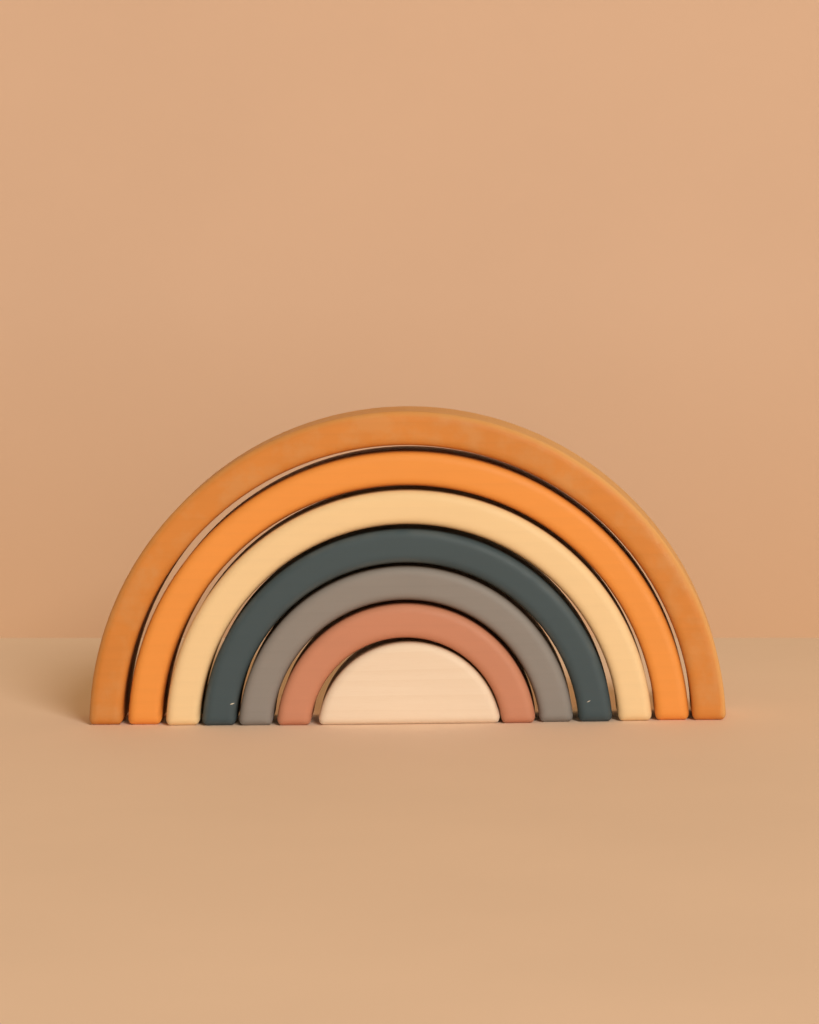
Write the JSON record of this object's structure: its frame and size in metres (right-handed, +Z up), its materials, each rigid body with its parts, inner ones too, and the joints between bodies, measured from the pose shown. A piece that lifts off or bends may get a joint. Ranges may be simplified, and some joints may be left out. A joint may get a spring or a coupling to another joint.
{
  "type": "rainbow stacker",
  "caption": "Wooden nesting rainbow: loose stained arches that stand one over another around a solid natural-wood half round, to be stacked, sorted and lifted apart.",
  "frame": {"origin": "on the floor, under the middle of the set's width and depth", "axes": "+X to the right as seen from the front, +Y to the back, +Z up; the front faces -Y"},
  "size_m": [0.2602, 0.0416, 0.1273],
  "materials": {
    "natural_wood": "bare sanded pale wood, fine grain along the base",
    "rose_stain": "satin dusty rose stain",
    "grey_stain": "satin warm grey stain",
    "slate_stain": "satin dark slate stain with a few pale flecks",
    "cream_stain": "satin cream stain",
    "orange_stain": "satin orange stain",
    "caramel_stain": "satin translucent caramel stain, blotchy over the grain"
  },
  "bodies": {
    "centre_half_round": {"centre_half_round": "natural_wood"},
    "rose_arch": {"rose_arch": "rose_stain"},
    "grey_arch": {"grey_arch": "grey_stain"},
    "slate_arch": {"slate_arch": "slate_stain"},
    "cream_arch": {"cream_arch": "cream_stain"},
    "orange_arch": {"orange_arch": "orange_stain"},
    "caramel_arch": {"caramel_arch": "caramel_stain"}
  },
  "joints": [
    {"name": "rose_lift", "type": "slide", "parent": "centre_half_round", "child": "rose_arch", "axis": [0, 0, 1], "range_m": [0, 0.04]},
    {"name": "grey_lift", "type": "slide", "parent": "rose_arch", "child": "grey_arch", "axis": [0, 0, 1], "range_m": [0, 0.055]},
    {"name": "slate_lift", "type": "slide", "parent": "grey_arch", "child": "slate_arch", "axis": [0, 0, 1], "range_m": [0, 0.071]},
    {"name": "cream_lift", "type": "slide", "parent": "slate_arch", "child": "cream_arch", "axis": [0, 0, 1], "range_m": [0, 0.086]},
    {"name": "orange_lift", "type": "slide", "parent": "cream_arch", "child": "orange_arch", "axis": [0, 0, 1], "range_m": [0, 0.102]},
    {"name": "caramel_lift", "type": "slide", "parent": "orange_arch", "child": "caramel_arch", "axis": [0, 0, 1], "range_m": [0, 0.117]}
  ]
}
